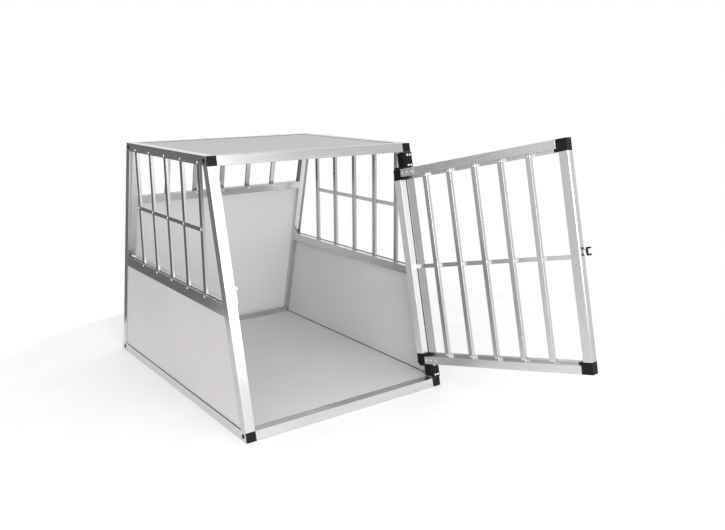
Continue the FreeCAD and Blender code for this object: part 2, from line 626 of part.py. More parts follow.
# The door: two upright stiles, two rails with a fin, and a plastic block at each corner.
HINGE_EDGE = "sizes.pivot_inset"
STILE_LOW = f"({DOOR_BOTTOM} + sizes.corner_height)"
STILE_LONG = f"({DOOR_HEIGHT} - 2 * sizes.corner_height)"


def door_stile(label, outer, inward):
    body = new_body(label, DOOR)
    inner = f"({outer} + {inward} * sizes.stile_width)"
    add(body, "XY_Plane", [rect(outer, f"-{HALF_DOOR}", inner, HALF_DOOR)], STILE_LOW, STILE_LONG)
    hollow = rect(f"({outer} + {inward} * 2 * sizes.wall)", f"-{HALF_DOOR} + sizes.wall",
                  f"({inner} - {inward} * sizes.wall)", f"{HALF_DOOR} - sizes.wall")
    line = rect(f"({outer} - {inward})", f"{HALF_DOOR} - 2 * sizes.lip",
                f"({outer} + {inward} * sizes.wall)", f"{HALF_DOOR} - sizes.lip")
    cut(body, "XY_Plane", [hollow, line], f"{STILE_LOW} - 1", f"{STILE_LONG} + 2")
    return keep(body)


door_stile("door_stile_hinge", HINGE_EDGE, -1)
door_stile("door_stile_lock", FREE_EDGE, 1)


def door_rail(label, edge, sign):
    """edge is the outer edge level and sign points from it into the door."""
    body = new_body(label, DOOR)
    inner = f"({edge} + {sign} * sizes.door_rail)"
    tip = f"({inner} + {sign} * sizes.fin)"
    box = rect(f"-{HALF_DOOR}", edge, HALF_DOOR, inner)
    hollow = rect(f"-{HALF_DOOR} + sizes.wall", f"{edge} + {sign} * sizes.wall",
                  f"{HALF_DOOR} - sizes.wall", f"{inner} - {sign} * sizes.wall")
    start = f"({FREE_EDGE} + sizes.corner_length)"
    length = "(sizes.door_width - 2 * sizes.corner_length)"
    add(body, "YZ_Plane", [box], start, length)
    add(body, "YZ_Plane", [rect(f"-{HALF_DOOR}", f"{inner} - {sign}",
                                f"-{HALF_DOOR} + sizes.strip", tip)],
        f"{start} + sizes.corner_toe", f"{length} - 2 * sizes.corner_toe")
    cut(body, "YZ_Plane", [hollow], f"{start} - 1", f"{length} + 2")
    return keep(body)


door_rail("door_rail_top", DOOR_TOP, -1)
door_rail("door_rail_bottom", DOOR_BOTTOM, 1)


def door_corner(outer, inward, edge, sign, bored):
    body = new_body("corner", DOOR)
    reach = f"({outer} + {inward} * sizes.corner_length)"
    toe = f"({outer} + {inward} * (sizes.corner_length + sizes.corner_toe))"
    under = f"({edge} + {sign} * (sizes.door_rail + sizes.fit_gap))"
    end = f"({edge} + {sign} * sizes.corner_height)"
    outline = [(outer, edge), (reach, edge), (reach, under), (toe, under), (toe, end),
               (outer, end)]
    add(body, "XZ_Plane", [outline], f"-{HALF_DOOR}", "sizes.door_thickness")
    if bored:
        low = f"({edge} - sizes.pin_reach)" if sign < 0 else f"({edge} - 1)"
        cut(body, "XY_Plane", [], low, "sizes.pin_reach + 1",
            [("0", "0", "sizes.pin_radius + sizes.pin_clearance")])
    return body


corners = []
for edge, sign in ((DOOR_TOP, -1), (DOOR_BOTTOM, 1)):
    corners.append(door_corner(HINGE_EDGE, -1, edge, sign, True))
    corners.append(door_corner(FREE_EDGE, 1, edge, sign, False))
group("door_corners", corners)

# Door bars sit behind the fins, with a strip across their outer faces.
DOOR_MIDDLE = "(sizes.pivot_inset - sizes.door_width / 2 + sizes.door_bar_shift)"
door_bar_x = [f"({DOOR_MIDDLE} + {step} * sizes.door_bar_pitch)" for step in range(-2, 3)]
BAR_END = "(sizes.door_rail + sizes.fit_gap)"
for number, place in enumerate(reversed(door_bar_x), start=1):
    tube(f"door_bar_{number}", DOOR, place, f"({BAR_INNER} - sizes.door_bar_depth / 2)",
         "sizes.door_bar_width", "sizes.door_bar_depth", f"({DOOR_BOTTOM} + {BAR_END})",
         f"({DOOR_HEIGHT} - 2 * {BAR_END})")
DOOR_CENTRE = f"(({DOOR_BOTTOM} + {DOOR_TOP}) / 2)"
crossbar = new_body("door_crossbar", DOOR)
add(crossbar, "YZ_Plane", [rect(f"-{HALF_DOOR}", f"{DOOR_CENTRE} - sizes.crossbar_height / 2",
                                f"-{HALF_DOOR} + sizes.strip",
                                f"{DOOR_CENTRE} + sizes.crossbar_height / 2")],
    f"{FREE_EDGE} + sizes.stile_width", "sizes.door_width - 2 * sizes.stile_width")
keep(crossbar)

door_rivets = []
FIN_MIDDLE = "(sizes.door_rail + sizes.fin / 2)"
for place in door_bar_x:
    for z in (f"({DOOR_TOP} - {FIN_MIDDLE})", f"({DOOR_BOTTOM} + {FIN_MIDDLE})"):
        door_rivets.append(disc(DOOR, place, BAR_INNER, z, "+y", "sizes.rivet_radius",
                                "sizes.rivet_head"))
    door_rivets.append(disc(DOOR, place, f"-{HALF_DOOR}", DOOR_CENTRE, "-y",
                            "sizes.rivet_radius", "sizes.rivet_head"))
PLATE_END = "(sizes.pivot_inset - sizes.corner_length + 2 - sizes.plate_length)"
for edge, sign in ((DOOR_TOP, -1), (DOOR_BOTTOM, 1)):
    for share in (0.15, 0.5, 0.85):
        door_rivets.append(disc(DOOR, f"{PLATE_END} + {share} * sizes.plate_length",
                                f"{HALF_DOOR} + sizes.wall",
                                f"{edge} + {sign} * sizes.door_rail / 2", "+y",
                                "sizes.rivet_radius", "sizes.rivet_head"))
group("door_rivets", door_rivets)

plates = []
for edge, sign in ((DOOR_TOP, -1), (DOOR_BOTTOM, 1)):
    body = new_body("plate", DOOR)
    add(body, "XZ_Plane", [rect(PLATE_END, f"{edge} + {sign} * sizes.fit_gap",
                                f"{PLATE_END} + sizes.plate_length",
                                f"{edge} + {sign} * (sizes.door_rail - sizes.fit_gap)")],
        HALF_DOOR, "sizes.wall")
    plates.append(body)
group("hinge_plates", plates)

# The lock on the outer face of the free stile: a plate, and a fork that turns over it.
AXIS_X = f"({FREE_EDGE} + sizes.stile_width / 2)"
PLATE_OUT = f"(-{HALF_DOOR} - sizes.wall)"
plate = new_body("lock_plate", DOOR)
PLATE_RECT = rect(f"{FREE_EDGE} + 1", "sizes.lock_level - sizes.lock_below",
                  f"{FREE_EDGE} + sizes.stile_width - 1", "sizes.lock_level + sizes.lock_above")
add(plate, "XZ_Plane", [PLATE_RECT], PLATE_OUT, "sizes.wall")
cut(plate, "XZ_Plane", [], f"{PLATE_OUT} - 1", "sizes.wall + 1",
    [(AXIS_X, "sizes.lock_level", "sizes.shaft_radius + sizes.pin_clearance")])
keep(plate)

FORK_OUT = f"({PLATE_OUT} - sizes.knob_gap - sizes.fork_thickness)"
KNOB_OUT = f"({FORK_OUT} - sizes.knob_length)"
knob = new_body("lock_knob", DOOR)
add(knob, "XZ_Plane", [], KNOB_OUT, "sizes.knob_length",
    [(AXIS_X, "sizes.lock_level", "sizes.knob_radius")])
add(knob, "XZ_Plane", [], f"{FORK_OUT} - 1",
    "sizes.fork_thickness + sizes.knob_gap + sizes.wall + 0.9",
    [(AXIS_X, "sizes.lock_level", "sizes.shaft_radius")])
cut(knob, "XZ_Plane", [rect(f"{AXIS_X} - sizes.slot_half", "sizes.lock_level - sizes.slot_reach",
                            f"{AXIS_X} + sizes.slot_half",
                            "sizes.lock_level + sizes.slot_reach")],
    f"{KNOB_OUT} - 1", "sizes.slot_depth + 1")
keep(knob)

fork = new_body("latch_fork", DOOR)
TIP = f"({FREE_EDGE} - sizes.fork_reach)"
SPINE = f"({TIP} + 2 * sizes.prong)"
BACK_OF_SPINE = f"({SPINE} + sizes.prong)"
half = "sizes.fork_half"
level = "sizes.lock_level"
hub = "(sizes.shaft_radius + 2)"
arm_end = f"{AXIS_X} + sizes.arm_past"
fork_outline = [
    (TIP, f"{level} - {half}"), (BACK_OF_SPINE, f"{level} - {half}"),
    (BACK_OF_SPINE, f"{level} - {hub}"), (arm_end, f"{level} - {hub}"),
    (arm_end, f"{level} + {hub}"), (BACK_OF_SPINE, f"{level} + {hub}"),
    (BACK_OF_SPINE, f"{level} + {half}"), (TIP, f"{level} + {half}"),
    (TIP, f"{level} + {half} - sizes.prong"), (SPINE, f"{level} + {half} - sizes.prong"),
    (SPINE, f"{level} - {half} + sizes.prong"), (TIP, f"{level} - {half} + sizes.prong")]
add(fork, "XZ_Plane", [fork_outline], FORK_OUT, "sizes.fork_thickness")
cut(fork, "XZ_Plane", [], f"{FORK_OUT} - 1", "sizes.fork_thickness + 2",
    [(AXIS_X, "sizes.lock_level", "sizes.shaft_radius")])
keep(fork)

# Checks, then one file for each piece.
doc.recompute()
for item in doc.Objects:
    bad = [state for state in item.State if state in ("Invalid", "Error")]
    if bad:
        raise RuntimeError(f"{item.Label}: {bad}")
os.makedirs("parts", exist_ok=True)
for piece in nodes:
    shape = piece.Shape
    if shape.isNull() or not shape.isValid():
        raise RuntimeError(f"{piece.Label}: no valid shape")
    shape.exportStep(f"parts/{piece.Label}.step")
    print(f"{piece.Label}: {len(shape.Solids)} solids, {shape.Volume / 1000:.1f} cm3")
print(len(nodes), "nodes")
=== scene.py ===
import json
import math

import bmesh
import bpy
from mathutils import Matrix, Vector


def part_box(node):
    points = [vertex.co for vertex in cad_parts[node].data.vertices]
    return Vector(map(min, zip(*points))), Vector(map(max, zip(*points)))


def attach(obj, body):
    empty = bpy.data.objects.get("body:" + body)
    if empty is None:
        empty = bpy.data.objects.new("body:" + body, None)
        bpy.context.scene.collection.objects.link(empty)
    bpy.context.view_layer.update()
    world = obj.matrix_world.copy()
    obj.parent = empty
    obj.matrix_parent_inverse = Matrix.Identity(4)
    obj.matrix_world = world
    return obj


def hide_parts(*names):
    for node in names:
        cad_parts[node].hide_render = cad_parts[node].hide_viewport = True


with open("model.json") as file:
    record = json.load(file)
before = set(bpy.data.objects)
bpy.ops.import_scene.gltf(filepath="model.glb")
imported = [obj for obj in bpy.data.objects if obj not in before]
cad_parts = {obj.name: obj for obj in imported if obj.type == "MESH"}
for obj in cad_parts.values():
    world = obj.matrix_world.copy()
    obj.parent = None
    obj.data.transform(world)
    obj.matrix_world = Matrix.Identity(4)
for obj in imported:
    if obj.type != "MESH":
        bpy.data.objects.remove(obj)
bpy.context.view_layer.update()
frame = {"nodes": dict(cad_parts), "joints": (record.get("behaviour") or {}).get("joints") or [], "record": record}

nodes = frame["nodes"]
mm = 0.001


def findJoint(name):
    joints = frame["joints"]
    found = joints[name] if isinstance(joints, dict) else next(
        joint for joint in joints if joint["name"] == name)
    return found


hinge = findJoint("door_hinge")
hingePoint = Vector(hinge["pos_m"])
hingeAxis = Vector(hinge["axis"]).normalized()
frontLean = math.atan2(hingeAxis.y, hingeAxis.z)
# millimetres and degrees; the frames follow the leaning front, the back and the open door
places = {"backSetback": 183, "height": 710, "footInset": 16.5, "depth": 900, "doorOpen": 97}
backTilt = math.atan2(places["backSetback"], places["height"])
doorOpen = math.radians(places["doorOpen"])
frontFrame = (Matrix.Translation((0, -places["footInset"] * mm, 0))
              @ Matrix.Rotation(-frontLean, 4, "X"))
backFrame = (Matrix.Translation((0, (places["depth"] - places["footInset"]) * mm, 0))
             @ Matrix.Rotation(backTilt, 4, "X"))
doorFrame = (Matrix.Translation(hingePoint) @ Matrix.Rotation(-frontLean, 4, "X")
             @ Matrix.Rotation(doorOpen, 4, "Z"))
crateFrame = Matrix.Identity(4)


# materials, all on Object coordinates
def startMaterial(name):
    material = bpy.data.materials.new(name)
    material.use_nodes = True
    tree = material.node_tree
    shader = next(n for n in tree.nodes if n.type == "BSDF_PRINCIPLED")
    return material, tree, shader


def addNode(tree, kind, values=None, **settings):
    node = tree.nodes.new(kind)
    for key, value in settings.items():
        setattr(node, key, value)
    for key, value in (values or {}).items():
        node.inputs[key].default_value = value
    return node


# Object coordinates turned into a piece's own frame, then stretched.
def turnedCoordinates(tree, turn, scale):
    where = addNode(tree, "ShaderNodeTexCoord")
    turned = addNode(tree, "ShaderNodeMapping", {"Rotation": turn.to_euler()})
    scaled = addNode(tree, "ShaderNodeMapping", {"Scale": scale})
    tree.links.new(where.outputs["Object"], turned.inputs["Vector"])
    tree.links.new(turned.outputs["Vector"], scaled.inputs["Vector"])
    return scaled.outputs["Vector"]


def noise(tree, coordinates, scale, detail=3.0, roughness=0.5):
    made = addNode(tree, "ShaderNodeTexNoise",
                   {"Scale": scale, "Detail": detail, "Roughness": roughness})
    tree.links.new(coordinates, made.inputs["Vector"])
    return made.outputs["Fac"]


def ramp(tree, factor, stops):
    made = addNode(tree, "ShaderNodeValToRGB")
    band = made.color_ramp
    while len(band.elements) < len(stops):
        band.elements.new(0.5)
    for element, (position, colour) in zip(band.elements, stops):
        element.position = position
        element.color = colour if len(colour) == 4 else (*colour, 1)
    tree.links.new(factor, made.inputs["Fac"])
    return made.outputs["Color"]


def spread(tree, factor, low, high, fromLow=0.3, fromHigh=0.7):
    made = addNode(tree, "ShaderNodeMapRange",
                   {"From Min": fromLow, "From Max": fromHigh, "To Min": low, "To Max": high})
    tree.links.new(factor, made.inputs["Value"])
    return made.outputs["Result"]


def bump(tree, shader, height, strength, distance):
    made = addNode(tree, "ShaderNodeBump", {"Strength": strength, "Distance": distance})
    tree.links.new(height, made.inputs["Height"])
    tree.links.new(made.outputs["Normal"], shader.inputs["Normal"])


aluminiumLook = {"dark": (0.60, 0.60, 0.605), "light": (0.70, 0.70, 0.705),
                 "roughLow": 0.20, "roughHigh": 0.30, "streakDepth": 0.00008,
                 "streaks": (3, 620, 620), "clouds": (5, 14, 14), "specks": (900, 900, 900),
                 "cloudShare": 0.45, "speckShare": 0.35, "grainStrength": 0.35}


# Matt silver extrusion; turn brings the extrusion's length onto local X. The third argument scales the base colour
# darker or lighter per piece: painted shade and painted highlight.
def anodised(name, turn, paintedLight=1.0, metal=1.0):
    material, tree, shader = startMaterial(name)
    look = aluminiumLook
    streaks = noise(tree, turnedCoordinates(tree, turn, look["streaks"]), 1.0, 4.0, 0.6)
    clouds = noise(tree, turnedCoordinates(tree, turn, look["clouds"]), 1.0, 2.0)
    specks = noise(tree, turnedCoordinates(tree, turn, look["specks"]), 1.0, 2.0)
    mixed = addNode(tree, "ShaderNodeMix", {"Factor": look["cloudShare"]}, data_type="FLOAT")
    tree.links.new(streaks, mixed.inputs["A"])
    tree.links.new(clouds, mixed.inputs["B"])
    # streaky tone, darkened or lightened by the painted light and shade factor
    colour = ramp(tree, mixed.outputs["Result"], [
        (0.3, tuple(part * paintedLight for part in look["dark"])),
        (0.7, tuple(part * paintedLight for part in look["light"]))])
    tree.links.new(colour, shader.inputs["Base Color"])
    shader.inputs["Metallic"].default_value = metal
    tree.links.new(spread(tree, mixed.outputs["Result"], look["roughLow"], look["roughHigh"]),
                   shader.inputs["Roughness"])
    grain = addNode(tree, "ShaderNodeMix", {"Factor": look["speckShare"]}, data_type="FLOAT")
    tree.links.new(streaks, grain.inputs["A"])
    tree.links.new(specks, grain.inputs["B"])
    bump(tree, shader, grain.outputs["Result"], look["grainStrength"], look["streakDepth"])
    return material


# Rotation from row axes to a frame whose X runs along the piece's length.
def intoFrame(placeFrame, along):
    back = placeFrame.to_3x3().inverted()
    swap = {"x": Matrix.Identity(3), "y": Matrix.Rotation(-math.pi / 2, 3, "Z"),
            "z": Matrix.Rotation(math.pi / 2, 3, "Y")}[along]
    return swap @ back


# painted light and shade: how far each run of extrusion's base colour is darkened or brightened against the plain
# finish for how light falls on it, and how metallic it is
paintedLightFactors = {"width": 0.95, "header": 0.74, "upright": 0.72, "lockPost": 0.84, "hingePost": 0.60,
          "doorUp": 0.88, "hingeStile": 1.1, "lockPostMetal": 0.85, "hingeStileMetal": 0.6}
acrossCrate, frontUp = intoFrame(crateFrame, "x"), intoFrame(frontFrame, "z")
doorUp = intoFrame(doorFrame, "z")
alongWidth = anodised("aluminiumAlongWidth", acrossCrate, paintedLightFactors["width"])
alongHeader = anodised("aluminiumHeader", acrossCrate, paintedLightFactors["header"])
alongDepth = anodised("aluminiumAlongDepth", intoFrame(crateFrame, "y"))
alongHeight = anodised("aluminiumUpright", intoFrame(crateFrame, "z"), paintedLightFactors["upright"])
alongLockPost = anodised("aluminiumFrontSlope", frontUp, paintedLightFactors["lockPost"],
                         paintedLightFactors["lockPostMetal"])
alongHingePost = anodised("aluminiumHingePost", frontUp, paintedLightFactors["hingePost"])
alongBack = anodised("aluminiumBackSlope", intoFrame(backFrame, "z"))
alongDoorUp = anodised("aluminiumDoorUpright", doorUp, paintedLightFactors["doorUp"])
alongHingeStile = anodised("aluminiumHingeStile", doorUp, paintedLightFactors["hingeStile"],
                           paintedLightFactors["hingeStileMetal"])
alongDoorAcross = anodised("aluminiumDoorAcross", intoFrame(doorFrame, "x"))

boardLook = {"darker": 0.86, "inside": (0.69, 0.69, 0.69), "roof": (0.48, 0.48, 0.48),
             "warm": (0.66, 0.635, 0.645), "fleckScale": 420, "cloudScale": 3.5,
             "roughLow": 0.42, "roughHigh": 0.55, "gloss": 0.3, "peelScale": 260,
             "peelStrength": 0.25, "peelDepth": 0.00006, "cloudShare": 0.4}


# Silver-grey faced fibreboard: fine flecks, faint clouds and an orange-peel skin.
def laminate(name, tint):
    material, tree, shader = startMaterial(name)
    look = boardLook
    where = turnedCoordinates(tree, Matrix.Identity(3), (1, 1, 1))
    flecks = noise(tree, where, look["fleckScale"], 3.0, 0.7)
    clouds = noise(tree, where, look["cloudScale"], 2.0)
    mixed = addNode(tree, "ShaderNodeMix", {"Factor": look["cloudShare"]}, data_type="FLOAT")
    tree.links.new(flecks, mixed.inputs["A"])
    tree.links.new(clouds, mixed.inputs["B"])
    colour = ramp(tree, mixed.outputs["Result"], [
        (0.3, tuple(part * look["darker"] for part in tint)), (0.7, tint)])
    tree.links.new(colour, shader.inputs["Base Color"])
    shader.inputs["Specular IOR Level"].default_value = look["gloss"]
    tree.links.new(spread(tree, mixed.outputs["Result"], look["roughLow"], look["roughHigh"]),
                   shader.inputs["Roughness"])
    peel = noise(tree, where, look["peelScale"], 2.0)
    bump(tree, shader, peel, look["peelStrength"], look["peelDepth"])
    return material


boardGrey = laminate("laminateSilverGrey", boardLook["inside"])
boardRoof = laminate("laminateRoofGrey", boardLook["roof"])
boardWarm = laminate("laminateWarmGrey", boardLook["warm"])

plasticLook = {"dark": (0.003, 0.003, 0.0035), "light": (0.010, 0.010, 0.011), "gloss": 0.16,
               "grainScale": 1100, "roughLow": 0.38, "roughHigh": 0.55, "grainDepth": 0.00012,
               "grainStrength": 0.4, "scuffScale": 40}


def mouldedBlack(name):
    material, tree, shader = startMaterial(name)
    look = plasticLook
    where = turnedCoordinates(tree, Matrix.Identity(3), (1, 1, 1))
    grain = noise(tree, where, look["grainScale"], 2.0)
    scuffs = noise(tree, where, look["scuffScale"], 5.0, 0.65)
    tree.links.new(ramp(tree, scuffs, [(0.35, look["dark"]), (0.75, look["light"])]),
                   shader.inputs["Base Color"])
    tree.links.new(spread(tree, scuffs, look["roughLow"], look["roughHigh"]),
                   shader.inputs["Roughness"])
    shader.inputs["Specular IOR Level"].default_value = look["gloss"]
    bump(tree, shader, grain, look["grainStrength"], look["grainDepth"])
    return material


blackPlastic = mouldedBlack("mouldedBlackPlastic")

metalLook = {"rivetDark": (0.80, 0.80, 0.81), "rivetLight": (0.92, 0.92, 0.92),
             "zincDark": (0.66, 0.67, 0.68), "zincLight": (0.80, 0.81, 0.82),
             "rivetRough": 0.22, "zincRough": 0.26, "roughRange": 0.12, "fineScale": 700,
             "cellScale": 160.0, "grainStrength": 0.2, "grainDepth": 0.00005}


def brightMetal(name, dark, light, rough, spangle):
    material, tree, shader = startMaterial(name)
    where = turnedCoordinates(tree, Matrix.Identity(3), (1, 1, 1))
    look = metalLook
    fine = noise(tree, where, look["fineScale"], 3.0)
    if spangle:
        cells = addNode(tree, "ShaderNodeTexVoronoi", {"Scale": look["cellScale"]})
        tree.links.new(where, cells.inputs["Vector"])
        tone = cells.outputs["Distance"]
    else:
        tone = fine
    tree.links.new(ramp(tree, tone, [(0.2, dark), (0.7, light)]), shader.inputs["Base Color"])
    shader.inputs["Metallic"].default_value = 1.0
    tree.links.new(spread(tree, fine, rough, rough + look["roughRange"]),
                   shader.inputs["Roughness"])
    bump(tree, shader, fine, look["grainStrength"], look["grainDepth"])
    return material


rivetSteel = brightMetal("rivetSteel", metalLook["rivetDark"], metalLook["rivetLight"],
                         metalLook["rivetRough"], False)
brightZinc = brightMetal("satinZinc", metalLook["zincDark"], metalLook["zincLight"],
                         metalLook["zincRough"], True)
print("materials made")


# eased copies of the frame's own parts: the edges of real extrusions and mouldings
bodyOf = {}
for bodyName in ("crate", "door", "lock"):
    for nodeName in frame["record"]["behaviour"]["bodies"][bodyName]:
        bodyOf[nodeName] = bodyName


def finishPiece(mesh, name, material, body, replaced):
    mesh.materials.clear()
    mesh.materials.append(material)
    piece = bpy.data.objects.new(name, mesh)
    bpy.context.scene.collection.objects.link(piece)
    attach(piece, body)
    if replaced:
        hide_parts(*replaced)
    return piece


# edge radii in metres, and the angles in degrees that tell an edge from a curve
easing = {"profile": 0.0005, "board": 0.0006, "moulding": 0.0011, "plate": 0.0004,
          "shortest": 0.0045, "sharp": 38, "smooth": 40, "flat": 1.0, "weld": 2e-6}


def mergedCopy(nodeName):
    source = bmesh.new()
    source.from_mesh(nodes[nodeName].data)
    bmesh.ops.remove_doubles(source, verts=source.verts, dist=easing["weld"])
    bmesh.ops.dissolve_limit(source, angle_limit=math.radians(easing["flat"]), verts=source.verts,
                             edges=source.edges)
    return source


# The node's shape with its long sharp edges rounded over.
def easedMesh(nodeName, width):
    shape = mergedCopy(nodeName)
    weights = shape.edges.layers.float.new("bevel_weight_edge")
    for edge in shape.edges:
        if len(edge.link_faces) == 2 and edge.calc_length() > easing["shortest"]:
            if edge.calc_face_angle(0) > math.radians(easing["sharp"]):
                edge[weights] = 1.0
    mesh = bpy.data.meshes.new(nodeName + "_eased")
    shape.to_mesh(mesh)
    shape.free()
    holder = bpy.data.objects.new("holder", mesh)
    bpy.context.scene.collection.objects.link(holder)
    for polygon in mesh.polygons:
        polygon.use_smooth = True
    mesh.set_sharp_from_angle(angle=math.radians(easing["smooth"]))
    edgeRound = holder.modifiers.new("edgeRound", "BEVEL")
    edgeRound.limit_method = "WEIGHT"
    edgeRound.width = width
    edgeRound.segments = 2
    edgeRound.use_clamp_overlap = True
    edgeRound.miter_outer = "MITER_ARC"
    weighted = holder.modifiers.new("weighted", "WEIGHTED_NORMAL")
    weighted.keep_sharp = True
    graph = bpy.context.evaluated_depsgraph_get()
    result = bpy.data.meshes.new_from_object(holder.evaluated_get(graph))
    result.name = nodeName + "_eased"
    bpy.data.objects.remove(holder)
    return result


def ease(nodeName, material, kind="profile"):
    mesh = easedMesh(nodeName, easing[kind])
    return finishPiece(mesh, nodeName + "_eased", material, bodyOf[nodeName], [nodeName])


extrusions = {alongWidth: ["front_sill", "back_sill", "back_mid_rail"],
              alongHeader: ["front_header", "back_header"],
              alongDepth: ["bottom_rail_left", "bottom_rail_right", "top_rail_left",
                           "top_rail_right", "mid_rail_left", "mid_rail_right",
                           "left_window_crossbar", "right_window_crossbar"],
              alongLockPost: ["front_post_left"], alongHingePost: ["front_post_right"],
              alongBack: ["back_post_left", "back_post_right"],
              alongDoorUp: ["door_stile_lock"], alongHingeStile: ["door_stile_hinge"],
              alongDoorAcross: ["door_rail_top", "door_rail_bottom", "door_crossbar"]}
for material, members in extrusions.items():
    for nodeName in members:
        ease(nodeName, material)
for nodeName in ("left_board", "right_board", "back_board", "floor_board", "roof_board"):
    face = {"left_board": boardWarm, "roof_board": boardRoof}.get(nodeName, boardGrey)
    ease(nodeName, face, "board")
for nodeName in ("rail_end_caps", "hinge_brackets", "door_corners"):
    ease(nodeName, blackPlastic, "moulding")
for nodeName in ("strike_plate", "lock_plate"):
    ease(nodeName, brightZinc, "plate")
ease("hinge_plates", alongDoorAcross, "plate")
ease("hinge_pins", rivetSteel, "plate")


# One side of a closed mesh, cut by a plane and capped.
def halfOf(mesh, point, normal, name):
    shape = bmesh.new()
    shape.from_mesh(mesh)
    cutting = bmesh.ops.bisect_plane(shape, geom=shape.verts[:] + shape.edges[:] + shape.faces[:],
                                     plane_co=point, plane_no=normal, clear_outer=True)
    rim = [part for part in cutting["geom_cut"] if isinstance(part, bmesh.types.BMEdge)]
    bmesh.ops.holes_fill(shape, edges=rim)
    bmesh.ops.recalc_face_normals(shape, faces=shape.faces[:])
    half = bpy.data.meshes.new(name)
    shape.to_mesh(half)
    shape.free()
    return half


# The fork's moulded claw is black and its arm is zinc, so the one shape is shown in two halves.
forkWhole = easedMesh("latch_fork", easing["moulding"])
forkSizes = {"splitAt": -0.5782}   # along the door from the hinge, just behind the claw
doorAcross = doorFrame.to_3x3() @ Vector((1, 0, 0))
splitPoint = doorFrame @ Vector((forkSizes["splitAt"], 0, 0))
finishPiece(halfOf(forkWhole, splitPoint, doorAcross, "latch_claw"), "latch_claw", blackPlastic,
            "lock", ["latch_fork"])
finishPiece(halfOf(forkWhole, splitPoint, -doorAcross, "latch_arm"), "latch_arm", brightZinc,
            "lock", [])
print("frame parts eased")


# Geometry Nodes helpers
weldDistance = 0.00001


def startTree(name, inputs):
    tree = bpy.data.node_groups.new(name, "GeometryNodeTree")
    tree.is_modifier = True
    tree.interface.new_socket("Geometry", in_out="INPUT", socket_type="NodeSocketGeometry")
    for label, kind in inputs:
        tree.interface.new_socket(label, in_out="INPUT", socket_type="NodeSocket" + kind)
    tree.interface.new_socket("Geometry", in_out="OUTPUT", socket_type="NodeSocketGeometry")
    source = tree.nodes.new("NodeGroupInput")
    sink = tree.nodes.new("NodeGroupOutput")
    return tree, source, sink


def link(tree, output, node, socket):
    tree.links.new(output, node.inputs[socket])


# Every tree ends the same way: real geometry with its material set.
def endTree(tree, source, sink, geometry):
    realized = tree.nodes.new("GeometryNodeRealizeInstances")
    painted = tree.nodes.new("GeometryNodeSetMaterial")
    link(tree, geometry, realized, "Geometry")
    link(tree, realized.outputs["Geometry"], painted, "Geometry")
    link(tree, source.outputs["Material"], painted, "Material")
    link(tree, painted.outputs["Geometry"], sink, "Geometry")


# Runs a tree on a base mesh and keeps the result as a plain mesh piece.
def settle(base, tree, values, name, place, material, body, replaced):
    holder = bpy.data.objects.new("holder", base)
    bpy.context.scene.collection.objects.link(holder)
    modifier = holder.modifiers.new("tree", "NODES")
    modifier.node_group = tree
    for item in tree.interface.items_tree:
        if item.item_type == "SOCKET" and item.in_out == "INPUT" and item.name in values:
            modifier[item.identifier] = values[item.name]
    holder.update_tag()
    graph = bpy.context.evaluated_depsgraph_get()
    result = bpy.data.meshes.new_from_object(holder.evaluated_get(graph))
    result.name = name
    result.transform(place)
    bpy.data.objects.remove(holder)
    return finishPiece(result, name, material, body, replaced)


# Loose points that carry the direction each repeat faces.
def pointMesh(points, facings):
    mesh = bpy.data.meshes.new("points")
    mesh.from_pydata(points, [], [])
    facing = mesh.attributes.new("facing", "FLOAT_VECTOR", "POINT")
    for i, direction in enumerate(facings):
        facing.data[i].vector = direction
    return mesh


# flat window and door bars with rounded edges, one row of them to each opening
def makeBarTree():
    tree, source, sink = startTree("barRow", [
        ("Count", "Int"), ("First", "Vector"), ("Pitch", "Vector"), ("Width", "Float"),
        ("Depth", "Float"), ("Corner", "Float"), ("Length", "Float"),
        ("Material", "Material")])
    make = tree.nodes.new
    outer = make("GeometryNodeCurvePrimitiveQuadrilateral")
    link(tree, source.outputs["Width"], outer, "Width")
    link(tree, source.outputs["Depth"], outer, "Height")
    rounded = make("GeometryNodeFilletCurve")
    rounded.mode = "POLY"
    rounded.inputs["Count"].default_value = 4
    rounded.inputs["Limit Radius"].default_value = True
    link(tree, outer.outputs["Curve"], rounded, "Curve")
    link(tree, source.outputs["Corner"], rounded, "Radius")
    filled = make("GeometryNodeFillCurve")
    filled.mode = "NGONS"
    link(tree, rounded.outputs["Curve"], filled, "Curve")
    tall = make("ShaderNodeCombineXYZ")
    link(tree, source.outputs["Length"], tall, "Z")
    raised = make("GeometryNodeExtrudeMesh")
    raised.mode = "FACES"
    raised.inputs["Individual"].default_value = False
    link(tree, filled.outputs["Mesh"], raised, "Mesh")
    link(tree, tall.outputs["Vector"], raised, "Offset")
    flipped = make("GeometryNodeFlipFaces")
    link(tree, filled.outputs["Mesh"], flipped, "Mesh")
    joined = make("GeometryNodeJoinGeometry")
    link(tree, raised.outputs["Mesh"], joined, "Geometry")
    link(tree, flipped.outputs["Mesh"], joined, "Geometry")
    welded = make("GeometryNodeMergeByDistance")
    welded.inputs["Distance"].default_value = weldDistance
    link(tree, joined.outputs["Geometry"], welded, "Geometry")
    row = make("GeometryNodeMeshLine")
    link(tree, source.outputs["Count"], row, "Count")
    link(tree, source.outputs["First"], row, "Start Location")
    link(tree, source.outputs["Pitch"], row, "Offset")
    spreadOut = make("GeometryNodeInstanceOnPoints")
    link(tree, row.outputs["Mesh"], spreadOut, "Points")
    link(tree, welded.outputs["Geometry"], spreadOut, "Instance")
    endTree(tree, source, sink, spreadOut.outputs["Instances"])
    return tree


barTree = makeBarTree()
barLook = {"count": 5, "corner": 0.001}


# A node's box in one of the leaning frames.
def localBox(nodeName, place):
    back = place.inverted()
    points = [back @ v.co for v in nodes[nodeName].data.vertices]
    low = Vector([min(p[i] for p in points) for i in range(3)])
    high = Vector([max(p[i] for p in points) for i in range(3)])
    return low, high


